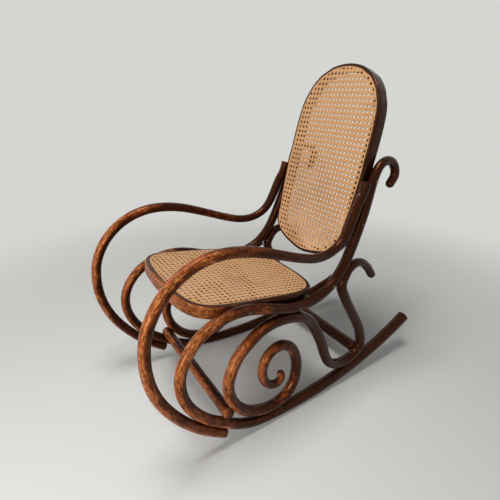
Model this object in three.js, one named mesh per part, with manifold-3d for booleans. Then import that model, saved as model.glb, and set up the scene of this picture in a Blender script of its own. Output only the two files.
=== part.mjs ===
// Bentwood rocking chair with a caned seat and back.
// Millimetres, +Z up. The sitter faces -Y, the sitter's left is +X, and the floor is z = 0.
import * as THREE from 'three';
import { mergeVertices } from 'three/addons/utils/BufferGeometryUtils.js';
import Module from 'manifold-3d';

const wasm = await Module();
wasm.setup();

// Driving sizes of the side frames.
// A side is drawn in u, which runs rearwards, and z, which runs up from the floor, both as
// shares of the two sizes here. The runner touches the floor at contactShare.
const sideLength = 1060;
const sideHeight = 785;
const frameSpacing = 430;
const toeIn = 55;
const splay = 16;
const railBow = 9;
const runnerRadius = 1330;
const contactShare = -0.004;
const middleShare = 0.0206;

// Gap left between pieces, depth of the seats where rods bear on each other
const clearance = 0.3;
const letIn = 0.9;
const stretcherLetIn = 3.5;

// Rod radii
const hookRadius = 14.5;
const postRadius = 17.6;
const railRadius = 16;
const jointRadius = 16;
const runnerRodRadius = 16.5;
const runnerTailRadius = 21.5;
const armEndRadius = 16;
const armRestRadius = 14;
const armRadius = 15.7;
const scrollRadius = 17.5;
const scrollTurnRadius = 15;
const scrollTipRadius = 12.5;
const frontStretcherRadius = 17.8;
const rearStretcherRadius = 22;
const stayRadius = 8.5;

// Facets of the rods
const rodSides = 12;
const rodTurn = THREE.MathUtils.degToRad(15.5);
const rodStep = 58;
const traceStep = 4;

// Centre line of a side rod: hook, post, seat rail, front loop, and the foot of the loop
// where it runs out into the line of the runner.
const sideRodShares = [
  [0.339, 0.905], [0.356, 0.935], [0.351, 0.968], [0.332, 0.993], [0.307, 1.0],
  [0.284, 0.988], [0.267, 0.962], [0.256, 0.930], [0.247, 0.893], [0.234, 0.834],
  [0.219, 0.776], [0.202, 0.717], [0.184, 0.661], [0.163, 0.608], [0.137, 0.563],
  [0.103, 0.526], [0.057, 0.502], [0.005, 0.494], [-0.051, 0.503], [-0.105, 0.525],
  [-0.156, 0.548], [-0.204, 0.563], [-0.250, 0.563], [-0.292, 0.549], [-0.328, 0.526],
  [-0.357, 0.494], [-0.380, 0.451], [-0.394, 0.400], [-0.396, 0.344], [-0.385, 0.283],
  [-0.362, 0.226], [-0.328, 0.170], [-0.290, 0.126], [-0.255, 0.090], [-0.227, 0.067],
  [-0.192, 0.046],
];
const postFoot = 0.42;
const runnerStartShare = -0.149;
const runnerTailShare = 0.522;
const runnerFacet = 58;
const jointShare = -0.256;
const tenonRadius = 8;
const tenonLength = 24;

// Centre line of an arm, from its upper end on the post to its lower end under the loop
const armShares = [
  [0.2312, 0.9255], [0.2180, 0.889], [0.196, 0.838], [0.180, 0.790], [0.163, 0.744],
  [0.142, 0.708], [0.114, 0.684], [0.078, 0.671], [0.036, 0.674], [-0.021, 0.696],
  [-0.074, 0.722], [-0.124, 0.748], [-0.171, 0.769], [-0.215, 0.784], [-0.257, 0.790],
  [-0.298, 0.787], [-0.337, 0.775], [-0.372, 0.753], [-0.402, 0.723], [-0.428, 0.686],
  [-0.450, 0.641], [-0.466, 0.588], [-0.474, 0.526], [-0.474, 0.460], [-0.465, 0.391],
  [-0.446, 0.321], [-0.416, 0.250], [-0.372, 0.173], [-0.325, 0.112], [-0.279, 0.068],
];

// Centre line of a scroll: rear hook, S curve, foot, rise to the rail, great loop, spiral
const scrollShares = [
  [0.297, 0.508], [0.271, 0.553], [0.241, 0.584], [0.208, 0.597], [0.180, 0.583],
  [0.161, 0.551], [0.158, 0.508], [0.177, 0.443], [0.212, 0.363], [0.249, 0.282],
  [0.272, 0.211], [0.277, 0.152], [0.254, 0.110], [0.203, 0.095], [0.156, 0.108],
  [0.123, 0.145], [0.102, 0.200], [0.083, 0.268], [0.058, 0.339], [0.026, 0.402],
  [-0.012, 0.440], [-0.058, 0.462], [-0.106, 0.470], [-0.154, 0.458], [-0.195, 0.427],
  [-0.227, 0.380], [-0.250, 0.327], [-0.261, 0.276], [-0.256, 0.217], [-0.234, 0.158],
  [-0.195, 0.104], [-0.145, 0.074], [-0.096, 0.069], [-0.055, 0.090], [-0.027, 0.140],
  [-0.018, 0.207], [-0.026, 0.272], [-0.049, 0.323], [-0.083, 0.346], [-0.116, 0.338],
  [-0.139, 0.307], [-0.148, 0.262], [-0.140, 0.214], [-0.119, 0.183], [-0.093, 0.174],
  [-0.077, 0.190], [-0.080, 0.210],
];

// Stretchers and stays
const stretcherOverhang = 8.6;
const frontStretcherShare = -0.279;
const rearStretcherShares = [0.268, 0.125];
const endBevel = 5;
const stayFootShare = 0.107;
const stayTipShares = [0.040, 0.507];

// Seat frame: one half of its outer line, from the middle of the front to the middle of the
// rear, as shares of half its width and of its length. It is as wide as the rails allow.
const seatShares = [
  [0, 0], [0.24, 0.003], [0.47, 0.012], [0.68, 0.030], [0.845, 0.068], [0.943, 0.124],
  [0.987, 0.195], [0.998, 0.278], [0.9995, 0.387], [0.9938, 0.535], [0.9741, 0.683],
  [0.9545, 0.771], [0.902, 0.850], [0.800, 0.918], [0.630, 0.965], [0.400, 0.990],
  [0.180, 0.999], [0, 1],
];
const seatFrontShare = -0.354;
const seatLengthShare = 0.4585;
const seatFrontRise = 0.6101;
const seatRearRise = 0.5111;
const seatRimWidth = 24;
const seatRimHeight = 37;
const seatEdge = 6;
const rimFacets = 56;

// Back frame: one half of its outer line, from the bottom to the top, and where its lowest
// and highest points lie on the drawing of the side. It is as wide as the posts allow.
const backShares = [
  [0, 0], [0.353, 0.016], [0.549, 0.032], [0.723, 0.055], [0.832, 0.084], [0.905, 0.116],
  [0.930, 0.154], [0.940, 0.210], [0.967, 0.288], [0.989, 0.378], [1.0, 0.456],
  [1.0, 0.498], [0.989, 0.533], [0.986, 0.624], [0.973, 0.713], [0.946, 0.782],
  [0.908, 0.824], [0.853, 0.856], [0.804, 0.884], [0.723, 0.914], [0.614, 0.945],
  [0.489, 0.965], [0.353, 0.985], [0.110, 0.999], [0, 1],
];
const backBottomShares = [0.1528, 0.5732];
const backTopShares = [0.3047, 1.3618];
const backRimWidth = 19;
const backRimDepth = 40;
const backEdge = 4;

// Cane panels
const caneThickness = 2.6;
const caneLap = 8;
const canePitch = 46;
const caneHole = 33;

// Screws and spacers
const screwRadius = 2.4;
const screwHeadRadius = 5;
const screwHeadHeight = 3;
const screwSink = 1.4;
const screwPoint = 5;
const screwBite = 13;
const screwSides = 6;
const spacerRadius = 9;
const spacerLetIn = 2;
const frontFixing = -0.2;
const rearFixing = -0.03;
const upperFixing = 0.93;
const lowerFixing = 0.765;

// Finishes
const stain = new THREE.MeshStandardMaterial({ color: 0x4a2114, roughness: 0.34, metalness: 0 });
const wornStain = new THREE.MeshStandardMaterial({ color: 0x6e3a20, roughness: 0.42, metalness: 0 });
const cane = new THREE.MeshStandardMaterial({ color: 0xc9a077, roughness: 0.62, metalness: 0 });
const steel = new THREE.MeshStandardMaterial({ color: 0x5b554e, roughness: 0.45, metalness: 0.9 });

const up = new THREE.Vector3(0, 0, 1);
const across = new THREE.Vector3(1, 0, 0);
const outboard = new THREE.Vector3(1, toeIn / sideLength, splay / sideHeight).normalize();

// Where a side lies across the chair: the sides toe in to the rear, splay to the floor and
// bow out round the seat.
const bowFront = -0.34;
const bowRear = 0.14;

function sideX(u, z) {
  const plane = frameSpacing / 2 - toeIn * u / sideLength + splay * (1 - z / sideHeight);
  const share = (u / sideLength - bowFront) / (bowRear - bowFront);
  const bowed = share > 0 && share < 1 && z > sideHeight * postFoot;
  return plane + (bowed ? railBow * Math.sin(Math.PI * share) ** 2 : 0);
}

function onSide(u, z) {
  return new THREE.Vector3(sideX(u, z), u, z);
}

function fromShares(shares) {
  return shares.map(([u, z]) => onSide(u * sideLength, z * sideHeight));
}

// Radii along a rod are given as [share of its length, radius] pairs
function radiusAt(radii, share) {
  const after = Math.max(1, radii.findIndex(([place]) => place >= share));
  const [a, b] = [radii[after - 1], radii[after]];
  return THREE.MathUtils.mapLinear(share, a[0], b[0], a[1], b[1]);
}

// A rod is a row of stations: a smooth line through its knots, cut into facets that turn by
// no more than rodTurn.
function drawRod(knots, radii) {
  const curve = new THREE.CatmullRomCurve3(knots, false, 'centripetal');
  const steps = Math.ceil(curve.getLength() / traceStep);
  curve.arcLengthDivisions = steps * 2;
  curve.updateArcLengths();
  const trace = curve.getSpacedPoints(steps);
  const rod = [];
  let heading = null;
  let last = 0;
  trace.forEach((point, i) => {
    const ahead = trace[Math.min(i + 1, steps)].clone().sub(trace[Math.max(i - 1, 0)]).normalize();
    const turned = heading ? heading.angleTo(ahead) : Infinity;
    if (turned > rodTurn || (i - last) * traceStep > rodStep || i === steps) {
      if (i === steps && (i - last) * traceStep < rodStep / 4) {
        rod.pop();
      }
      rod.push({ point, radius: radiusAt(radii, i / steps) });
      heading = ahead;
      last = i;
    }
  });
  return rod;
}

// Close points along a rod, for measuring how near two rods pass
function closePoints(rod) {
  const points = [rod.at(-1)];
  rod.slice(1).forEach((end, i) => {
    const start = rod[i];
    const parts = Math.max(1, Math.round(start.point.distanceTo(end.point) / traceStep));
    for (let k = 0; k < parts; k += 1) {
      points.push({
        point: start.point.clone().lerp(end.point, k / parts),
        radius: THREE.MathUtils.lerp(start.radius, end.radius, k / parts),
      });
    }
  });
  return points;
}

// The point of a rod's centre line that is nearest a test value, among those that pass
function pointWhere(rod, passes, value, wanted) {
  return closePoints(rod).filter(({ point }) => passes(point)).reduce((best, item) => (
    Math.abs(value(item.point) - wanted) < Math.abs(value(best.point) - wanted) ? item : best));
}

// Nearest approach of a rod to its neighbour round a place on the rod
function approach(rod, neighbour, place, reach) {
  let best = { gap: Infinity };
  const near = closePoints(neighbour).filter(({ point }) => point.distanceTo(place) < 3 * reach);
  for (const own of closePoints(rod).filter(({ point }) => point.distanceTo(place) < reach)) {
    for (const other of near) {
      const gap = own.point.distanceTo(other.point) - own.radius - other.radius;
      if (gap < best.gap) {
        best = { gap, from: other, to: own };
      }
    }
  }
  return best;
}

// Draw a rod that bears on its neighbours: the knots of each bearing are moved together in
// the plane of the side until the rod is let in by letIn.
function seatRod(shares, radii, bearings) {
  const knots = fromShares(shares);
  let rod = drawRod(knots, radii);
  for (let pass = 0; pass < 16; pass += 1) {
    for (const bearing of bearings) {
      const middle = knots[bearing.knots[bearing.knots.length >> 1]];
      const near = approach(rod, bearing.on, middle, bearing.reach);
      const away = near.to.point.clone().sub(near.from.point).setX(0).normalize();
      for (const knot of bearing.knots) {
        const moved = knots[knot].clone().addScaledVector(away, -letIn - near.gap);
        knots[knot].copy(onSide(moved.y, moved.z));
      }
    }
    rod = drawRod(knots, radii);
  }
  rod.seats = bearings.map((bearing) => {
    const middle = knots[bearing.knots[bearing.knots.length >> 1]];
    return approach(rod, bearing.on, middle, bearing.reach);
  });
  return rod;
}

// Rings of points round a rod, mitred where it turns; a rod grown by a gap makes a cutter
function rodRings(rod, normal, grow) {
  return rod.map((station, i) => {
    const back = i > 0 ? station.point.clone().sub(rod[i - 1].point).normalize() : null;
    const ahead = i < rod.length - 1 ? rod[i + 1].point.clone().sub(station.point).normalize() : null;
    const along = (back ?? ahead).clone().add(ahead ?? back).normalize();
    const stretch = 1 / along.dot(back ?? ahead);
    const side = normal.clone().cross(along).normalize();
    const rise = along.clone().cross(side);
    const face = (station.face ?? along).clone();
    const reach = (station.radius + grow) / Math.cos(Math.PI / rodSides);
    const ring = [];
    for (let k = 0; k < rodSides; k += 1) {
      const angle = (k + 0.5) * 2 * Math.PI / rodSides;
      const point = side.clone().multiplyScalar(reach * stretch * Math.cos(angle));
      point.addScaledVector(rise, reach * Math.sin(angle));
      point.addScaledVector(along, -point.dot(face) / along.dot(face));
      point.addScaledVector(along, ahead ? (back ? 0 : -grow) : grow);
      ring.push(point.add(station.point));
    }
    return ring;
  });
}

function skin(rings) {
  const positions = rings.flat().flatMap((point) => point.toArray());
  const count = rings[0].length;
  const index = [];
  for (let i = 1; i < rings.length; i += 1) {
    for (let k = 0; k < count; k += 1) {
      const [a, b] = [(i - 1) * count + k, (i - 1) * count + (k + 1) % count];
      const [c, d] = [a + count, b + count];
      index.push(a, b, d, a, d, c);
    }
  }
  const end = (rings.length - 1) * count;
  for (let k = 1; k < count - 1; k += 1) {
    index.push(0, k + 1, k);
    index.push(end, end + k, end + k + 1);
  }
  const geometry = new THREE.BufferGeometry();
  geometry.setAttribute('position', new THREE.Float32BufferAttribute(positions, 3));
  geometry.setIndex(index);
  return geometry;
}

// A rounded rod end
const domeShares = [[0.45, 0.9], [0.8, 0.6], [0.95, 0.28]];

function roundStart(rod) {
  const [end, next] = rod;
  const along = end.point.clone().sub(next.point).normalize();
  for (const [reach, size] of domeShares) {
    const point = end.point.clone().addScaledVector(along, reach * end.radius);
    rod.unshift({ point, radius: size * end.radius });
  }
  return rod;
}

function solidOf(geometry) {
  const plain = geometry.clone();
  plain.deleteAttribute('normal');
  plain.deleteAttribute('uv');
  const merged = mergeVertices(plain);
  const vertProperties = new Float32Array(merged.attributes.position.array);
  const triVerts = new Uint32Array(merged.index.array);
  return new wasm.Manifold(new wasm.Mesh({ numProp: 3, vertProperties, triVerts }));
}

function geometryOf(solid) {
  const mesh = solid.getMesh();
  const geometry = new THREE.BufferGeometry();
  geometry.setAttribute('position', new THREE.Float32BufferAttribute(mesh.vertProperties, 3));
  geometry.setIndex([...mesh.triVerts]);
  return geometry;
}

function rodSolid(rod, grow = 0, normal = outboard) {
  return solidOf(skin(rodRings(rod, normal, grow)));
}

function mirrored(geometry) {
  const copy = geometry.clone();
  copy.scale(-1, 1, 1);
  const index = copy.index.array;
  for (let i = 0; i < index.length; i += 3) {
    [index[i], index[i + 1]] = [index[i + 1], index[i]];
  }
  return copy;
}

// The side rod and the runner share one line, parted where the tenon joins them
const contact = contactShare * sideLength;

function runnerZ(u) {
  return runnerRodRadius + runnerRadius - Math.sqrt(runnerRadius ** 2 - (u - contact) ** 2);
}

const runnerStart = runnerStartShare * sideLength;
const line = drawRod(
  [...fromShares(sideRodShares), onSide(runnerStart, runnerZ(runnerStart))],
  [[0, hookRadius], [0.1, hookRadius], [0.2, postRadius], [0.45, railRadius], [1, jointRadius]],
);
const partingAt = line.findIndex(({ point }, i) => i > line.length / 2
  && point.y > jointShare * sideLength && point.z < sideHeight * 0.3);
const [before, after] = [line[partingAt - 1], line[partingAt]];
const partingAlong = after.point.clone().sub(before.point).normalize();
const partingShare = (jointShare * sideLength - before.point.y) / (after.point.y - before.point.y);

function endAt(shift) {
  const point = before.point.clone().lerp(after.point, partingShare);
  return { point: point.addScaledVector(partingAlong, shift), radius: jointRadius };
}

const sideRod = roundStart([...line.slice(0, partingAt), endAt(-clearance / 2)]);
const tenon = [endAt(-tenonLength), endAt(tenonLength)];
tenon.forEach((station) => {
  station.radius = tenonRadius;
});
const level = new THREE.Vector3(1, toeIn / sideLength, 0).normalize();
const worn = runnerZ(contact + runnerFacet / 2) - runnerRodRadius;
const runner = [endAt(clearance / 2), ...line.slice(partingAt)];
const tail = runnerTailShare * sideLength;
const firstFacet = contact - runnerFacet * 1.5;
const facetCount = Math.round((tail - firstFacet) / runnerFacet);
for (let i = 0; i <= facetCount; i += 1) {
  const place = i < facetCount ? firstFacet + i * runnerFacet : tail;
  const share = THREE.MathUtils.clamp((place - runnerStart) / (tail - runnerStart), 0, 1);
  const radius = THREE.MathUtils.lerp(runnerRodRadius, runnerTailRadius, Math.sqrt(share));
  runner.push({ point: onSide(place, runnerZ(place) - runnerRodRadius + radius), radius });
}

// The arm bears on the post above and lies under the foot of the loop below
const armRadii = [[0, armEndRadius], [0.1, armEndRadius], [0.19, armRestRadius],
  [0.3, armRestRadius], [0.45, armRadius], [1, armRadius]];
const arm = seatRod(armShares, armRadii, [
  { knots: [0], on: sideRod, reach: armRadius },
  { knots: [1], on: sideRod, reach: armRadius },
  { knots: [28], on: sideRod, reach: armRadius },
  { knots: [29], on: sideRod, reach: armRadius },
]);

// The scroll bears on the post, stands on the runner at its foot and at the bottom of its
// great loop, and carries the rail on the top of the loop.
const scrollRadii = [[0, hookRadius], [0.045, hookRadius], [0.1, scrollRadius],
  [0.84, scrollRadius], [0.94, scrollTurnRadius], [1, scrollTipRadius]];
const scroll = roundStart(roundStart(seatRod(scrollShares, scrollRadii, [
  { knots: [3, 4, 5], on: sideRod, reach: sideLength / 16 },
  { knots: [12, 13, 14], on: runner, reach: sideLength / 10 },
  { knots: [20, 21, 22, 23], on: sideRod, reach: sideLength / 9 },
  { knots: [30, 31, 32, 33], on: runner, reach: sideLength / 10 },
]).reverse()).reverse());

// Stretchers, drawn from the right end to the left end
function straightRod(halfLength, u, z, radius) {
  return [-1, 1].map((side) => ({ point: new THREE.Vector3(side * halfLength, u, z), radius }));
}

function bevelled([start, end], bevel) {
  const along = end.point.clone().sub(start.point).normalize();
  const inset = (station, shift) => ({
    point: station.point.clone().addScaledVector(along, shift),
    radius: station.radius,
  });
  const tip = (station) => ({ point: station.point, radius: station.radius - bevel });
  return [tip(start), inset(start, bevel), inset(end, -bevel), tip(end)];
}

const frontSeat = pointWhere(
  sideRod,
  (point) => point.z < sideHeight * 0.3,
  (point) => point.y,
  frontStretcherShare * sideLength,
);
const frontRise = across.clone().cross(partingAlong).multiplyScalar(-1).setX(0).normalize();
frontRise.multiplyScalar(frontRise.z < 0 ? -1 : 1);
const frontCentre = frontSeat.point.clone().addScaledVector(
  frontRise,
  frontSeat.radius + frontStretcherRadius - stretcherLetIn,
);
const frontHalf = frontCentre.x + stretcherOverhang;
const frontStretcher = bevelled(
  straightRod(frontHalf, frontCentre.y, frontCentre.z, frontStretcherRadius),
  endBevel,
);
const [rearU, rearZ] = [rearStretcherShares[0] * sideLength, rearStretcherShares[1] * sideHeight];
const rearHalf = sideX(rearU, rearZ) - scrollRadius + stretcherLetIn;
const rearStretcher = straightRod(rearHalf, rearU, rearZ, rearStretcherRadius);

// A frame ring: a profile of [inset from the outer line, height] pairs swept round a closed
// line, on a plane given by a matrix.
function outline(shares, width, length) {
  const right = shares.map(([x, y]) => new THREE.Vector3(x * width / 2, y * length, 0));
  const left = right.slice(1, -1).reverse().map((point) => point.clone().setX(-point.x));
  const curve = new THREE.CatmullRomCurve3([...right, ...left], true, 'centripetal');
  curve.arcLengthDivisions = rimFacets * 16;
  return curve.getSpacedPoints(rimFacets).slice(0, -1);
}

function insetLine(points, inset) {
  return points.map((point, i) => {
    const count = points.length;
    const back = point.clone().sub(points[(i + count - 1) % count]).normalize();
    const ahead = points[(i + 1) % count].clone().sub(point).normalize();
    const inward = back.clone().add(ahead).normalize().cross(up).multiplyScalar(-1);
    return point.clone().addScaledVector(inward, inset / Math.max(0.5, back.dot(ahead)) ** 0.5);
  });
}

function ringSkin(points, profile, place) {
  const rings = profile.map(([inset, height]) => insetLine(points, inset)
    .map((point) => point.setZ(height).applyMatrix4(place)));
  const count = points.length;
  const index = [];
  rings.forEach((ring, i) => {
    const next = ((i + 1) % rings.length) * count;
    for (let k = 0; k < count; k += 1) {
      const [a, b] = [i * count + k, i * count + (k + 1) % count];
      const [c, d] = [next + k, next + (k + 1) % count];
      index.push(a, d, b, a, c, d);
    }
  });
  const geometry = new THREE.BufferGeometry();
  const positions = rings.flat().flatMap((point) => point.toArray());
  geometry.setAttribute('position', new THREE.Float32BufferAttribute(positions, 3));
  geometry.setIndex(index);
  return geometry;
}

// Profile of a rim: bevelled edges and a rebate for the cane along its inner top edge
function rimProfile(width, height, edge) {
  const bed = -caneThickness - clearance;
  return [
    [edge, 0], [0, -edge], [0, edge - height], [edge, -height],
    [width - edge / 2, -height], [width, edge / 2 - height],
    [width, bed], [width - caneLap, bed], [width - caneLap, 0],
  ];
}

// The half width of a frame's outer line, as a share, at a share of its length
function halfShare(shares, along) {
  const after = shares.findIndex(([, y]) => y >= along);
  const [a, b] = [shares[after - 1], shares[after]];
  return THREE.MathUtils.mapLinear(along, a[1], b[1], a[0], b[0]);
}

// Where the side rod carries the seat frame, the back frame and the stay
const alongDepth = (point) => point.y;
const alongHeight = (point) => point.z;
const isRail = (point) => point.y > -sideLength * 0.3 && point.z > sideHeight * 0.45;
const isPost = (point) => point.z > sideHeight * 0.7 && point.z < sideHeight * 0.97
  && point.y < sideLength * 0.29;
const isPostFoot = (point) => point.y > sideLength * 0.06 && point.z < sideHeight * 0.65;
const frontFoot = pointWhere(sideRod, isRail, alongDepth, frontFixing * sideLength);
const rearFoot = pointWhere(sideRod, isRail, alongDepth, rearFixing * sideLength);
const upperFoot = pointWhere(sideRod, isPost, alongHeight, upperFixing * sideHeight);
const lowerFoot = pointWhere(sideRod, isPost, alongHeight, lowerFixing * sideHeight);
const stayFoot = pointWhere(sideRod, isPostFoot, alongDepth, stayFootShare * sideLength);

// The seat frame lies on the slope of the rails and fills the room between them
const seatLength = seatLengthShare * sideLength;
const seatFront = new THREE.Vector3(0, seatFrontShare * sideLength, seatFrontRise * sideHeight);
const seatTilt = Math.atan((seatFrontRise - seatRearRise) * sideHeight / seatLength);
const seatPlace = new THREE.Matrix4().makeRotationX(-seatTilt).setPosition(seatFront);
const seatFootShare = (frontFoot.point.y - seatFront.y) / seatLength;
const seatWidth = 2 * (frontFoot.point.x - frontFoot.radius + letIn)
  / halfShare(seatShares, seatFootShare);
const seatLine = outline(seatShares, seatWidth, seatLength);

// The back frame leans with the posts and fills the room between them
const backBottom = new THREE.Vector3(0, backBottomShares[0] * sideLength, backBottomShares[1] * sideHeight);
const backTop = new THREE.Vector3(0, backTopShares[0] * sideLength, backTopShares[1] * sideHeight);
const backLength = backBottom.distanceTo(backTop);
const backSlope = Math.atan2(backTop.z - backBottom.z, backTop.y - backBottom.y);
const backPlace = new THREE.Matrix4().makeRotationX(backSlope).setPosition(backBottom);
const backFootShare = upperFoot.point.clone().applyMatrix4(backPlace.clone().invert()).y / backLength;
const backWidth = 2 * (upperFoot.point.x - upperFoot.radius + letIn)
  / halfShare(backShares, backFootShare);
const backLine = outline(backShares, backWidth, backLength);

// A cane panel: a thin sheet with a net of square openings
function canePanel(points, width, place) {
  const edge = insetLine(points, width - caneLap + clearance);
  const shape = new THREE.Shape(edge.map(({ x, y }) => new THREE.Vector2(x, y)));
  const field = insetLine(points, width + (canePitch - caneHole) / 2);
  const inside = (x, y) => field.every((point, i) => {
    const next = field[(i + 1) % field.length];
    return (next.x - point.x) * (y - point.y) - (next.y - point.y) * (x - point.x) > 0;
  });
  const box = new THREE.Box2().setFromPoints(field);
  const middle = box.getCenter(new THREE.Vector2());
  const spread = Math.ceil(Math.max(box.max.y - box.min.y, box.max.x) / canePitch);
  const half = caneHole / 2;
  const sheet = new THREE.ExtrudeGeometry(shape, { depth: caneThickness, bevelEnabled: false });
  let panel = solidOf(sheet);
  for (let i = -spread; i <= spread; i += 1) {
    for (let j = -spread; j <= spread; j += 1) {
      const [x, y] = [i * canePitch, middle.y + (j + 0.5) * canePitch];
      const corners = [[x - half, y - half], [x - half, y + half], [x + half, y + half], [x + half, y - half]];
      if (corners.every(([cx, cy]) => inside(cx, cy))) {
        const opening = new THREE.BoxGeometry(caneHole, caneHole, 3 * caneThickness);
        panel = panel.subtract(solidOf(opening.translate(x, y, 0)));
      }
    }
  }
  const net = geometryOf(panel);
  net.translate(0, 0, -caneThickness);
  net.applyMatrix4(place);
  return net;
}

// Screws: drawn with the head at the origin, then set with the head on a place
function screwShape(length, grow) {
  const profile = [
    [0, -length - grow], [screwRadius + grow, screwPoint - length - grow], [screwRadius + grow, -grow],
    [screwHeadRadius + grow, -grow], [screwHeadRadius + grow, screwHeadHeight * 0.45],
    [screwHeadRadius * 0.6, screwHeadHeight], [0, screwHeadHeight],
  ];
  if (grow > 0) {
    profile.splice(4, 3, [screwHeadRadius + grow, 3 * screwHeadRadius], [0, 3 * screwHeadRadius]);
  }
  return new THREE.LatheGeometry(profile.map(([x, y]) => new THREE.Vector2(x, y)), screwSides);
}

function setScrew(length, head, into, grow) {
  const turn = new THREE.Quaternion().setFromUnitVectors(new THREE.Vector3(0, -1, 0), into);
  const frame = new THREE.Matrix4().compose(head, turn, new THREE.Vector3(1, 1, 1));
  return solidOf(screwShape(length, grow).applyMatrix4(frame));
}

// A fixing runs from the far side of the first piece, through it and into the second
const fixings = [];

function fixing(name, centre, radius, into, reach, pieces) {
  const head = centre.clone().addScaledVector(into, screwSink - radius);
  fixings.push({ name, head, into, length: radius - screwSink + reach, pieces });
}

function fixingAcross(name, seat, pieces) {
  const into = seat.from.point.clone().sub(seat.to.point).normalize();
  fixing(name, seat.to.point, seat.to.radius, into, seat.to.radius + screwBite, pieces);
}

const inwards = across.clone().negate();
const rearFrame = pointWhere(scroll, (point) => point.z < sideHeight * 0.2
  && point.y > rearU - rearStretcherRadius, alongHeight, rearZ);

fixingAcross('screw_scroll_post', scroll.seats[0], ['scroll', 'side_rod']);
fixingAcross('screw_scroll_foot', scroll.seats[1], ['scroll', 'runner']);
fixingAcross('screw_scroll_crown', scroll.seats[2], ['scroll', 'side_rod']);
fixingAcross('screw_scroll_loop', scroll.seats[3], ['scroll', 'runner']);
fixingAcross('screw_arm_post', arm.seats[1], ['arm', 'side_rod']);
fixingAcross('screw_arm_foot', arm.seats[2], ['arm', 'side_rod']);
fixing('screw_front_stretcher', frontCentre, frontStretcherRadius, up.clone().negate(),
  frontStretcherRadius + screwBite, ['front_stretcher', 'side_rod']);
fixing('screw_rear_stretcher', rearFrame.point, rearFrame.radius, inwards,
  rearFrame.radius + 2 * screwBite, ['scroll', 'rear_stretcher']);
fixing('screw_seat_front', frontFoot.point, frontFoot.radius, inwards,
  frontFoot.radius + screwBite, ['side_rod', 'seat_ring']);
fixing('screw_seat_rear', rearFoot.point, rearFoot.radius, inwards,
  rearFoot.radius + screwBite, ['side_rod', 'seat_ring']);
fixing('screw_back_upper', upperFoot.point, upperFoot.radius, inwards,
  upperFoot.radius + screwBite, ['side_rod', 'back_ring']);

// The lower fixing of the back frame runs through a turned spacer
const lowerPlace = lowerFoot.point.clone().applyMatrix4(backPlace.clone().invert());
const backHalfThere = backLine.filter(({ x }) => x > 0).reduce((best, point) => (
  Math.abs(point.y - lowerPlace.y) < Math.abs(best.y - lowerPlace.y) ? point : best)).x;
const spacer = [lowerFoot.point.x - lowerFoot.radius + spacerLetIn, backHalfThere - spacerLetIn].map(
  (x) => ({ point: lowerFoot.point.clone().setX(x), radius: spacerRadius }));
fixing('screw_back_lower', lowerFoot.point, lowerFoot.radius, inwards,
  lowerFoot.point.x - backHalfThere + screwBite, ['side_rod', 'back_spacer', 'back_ring']);

// The stay crosses the inner face of the post and is socketed into the seat frame
const stayTip = new THREE.Vector3(
  stayFoot.point.x - stayFoot.radius - stayRadius + letIn,
  stayTipShares[0] * sideLength,
  stayTipShares[1] * sideHeight,
);
const stayHead = stayFoot.point.clone().setX(stayTip.x);
const stayAlong = stayHead.clone().sub(stayTip).normalize();
const stay = [
  { point: stayTip, radius: stayRadius },
  { point: stayHead.addScaledVector(stayAlong, stayRadius * 1.8), radius: stayRadius },
];
const stayRod = bevelled(stay, endBevel / 2);
fixing('screw_seat_stay', stayFoot.point, stayFoot.radius, inwards,
  stayFoot.radius + screwBite, ['side_rod', 'seat_stay']);

// Solids of the left side; each rod is cut clear of the rods it bears on
const sideBody = rodSolid(sideRod);
const sideCutter = rodSolid(sideRod, clearance);
const runnerCutter = rodSolid(runner, clearance, level);
const scrollCutter = rodSolid(scroll, clearance);
const armBody = rodSolid(arm).subtract(sideCutter);
const sidePieces = {
  side_rod: sideBody.add(rodSolid(tenon)),
  runner: rodSolid(runner, 0, level).subtract(rodSolid(tenon, clearance)),
  arm: armBody,
  scroll: rodSolid(scroll).subtract(sideCutter).subtract(runnerCutter)
    .subtract(rodSolid(frontStretcher, clearance, up)),
  seat_stay: rodSolid(stayRod, 0, across).subtract(sideCutter),
  back_spacer: rodSolid(spacer, 0, up).subtract(sideCutter),
};

function bothSides(solid) {
  return [solid, solidOf(mirrored(geometryOf(solid)))];
}

function cutBoth(solid, cutters) {
  return cutters.flatMap(bothSides).reduce((left, cutter) => left.subtract(cutter), solid);
}

const seatProfile = rimProfile(seatRimWidth, seatRimHeight, seatEdge);
const backProfile = rimProfile(backRimWidth, backRimDepth, backEdge);
const middlePieces = {
  front_stretcher: cutBoth(rodSolid(frontStretcher, 0, up), [sideCutter]),
  rear_stretcher: cutBoth(rodSolid(rearStretcher, 0, up), [scrollCutter]),
  seat_ring: cutBoth(
    solidOf(ringSkin(seatLine, seatProfile, seatPlace)),
    [sideCutter, rodSolid(stayRod, clearance, across)],
  ),
  back_ring: cutBoth(
    solidOf(ringSkin(backLine, backProfile, backPlace)),
    [sideCutter, rodSolid(arm, clearance), rodSolid(spacer, clearance, up)],
  ),
};

// Bore the pieces for the screws
for (const { name, head, into, length, pieces } of fixings) {
  const cutter = setScrew(length, head, into, clearance);
  for (const piece of pieces) {
    if (piece in sidePieces) {
      sidePieces[piece] = sidePieces[piece].subtract(cutter);
    } else {
      middlePieces[piece] = cutBoth(middlePieces[piece], [cutter]);
    }
  }
  sidePieces[name] = setScrew(length, head, into, 0);
}

const chair = new THREE.Group();
chair.name = 'rocking_chair';
chair.position.set(0, -middleShare * sideLength, -worn);

function addMesh(name, geometry, material) {
  const mesh = new THREE.Mesh(geometry, material);
  mesh.name = name;
  mesh.geometry.computeVertexNormals();
  chair.add(mesh);
}

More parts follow.
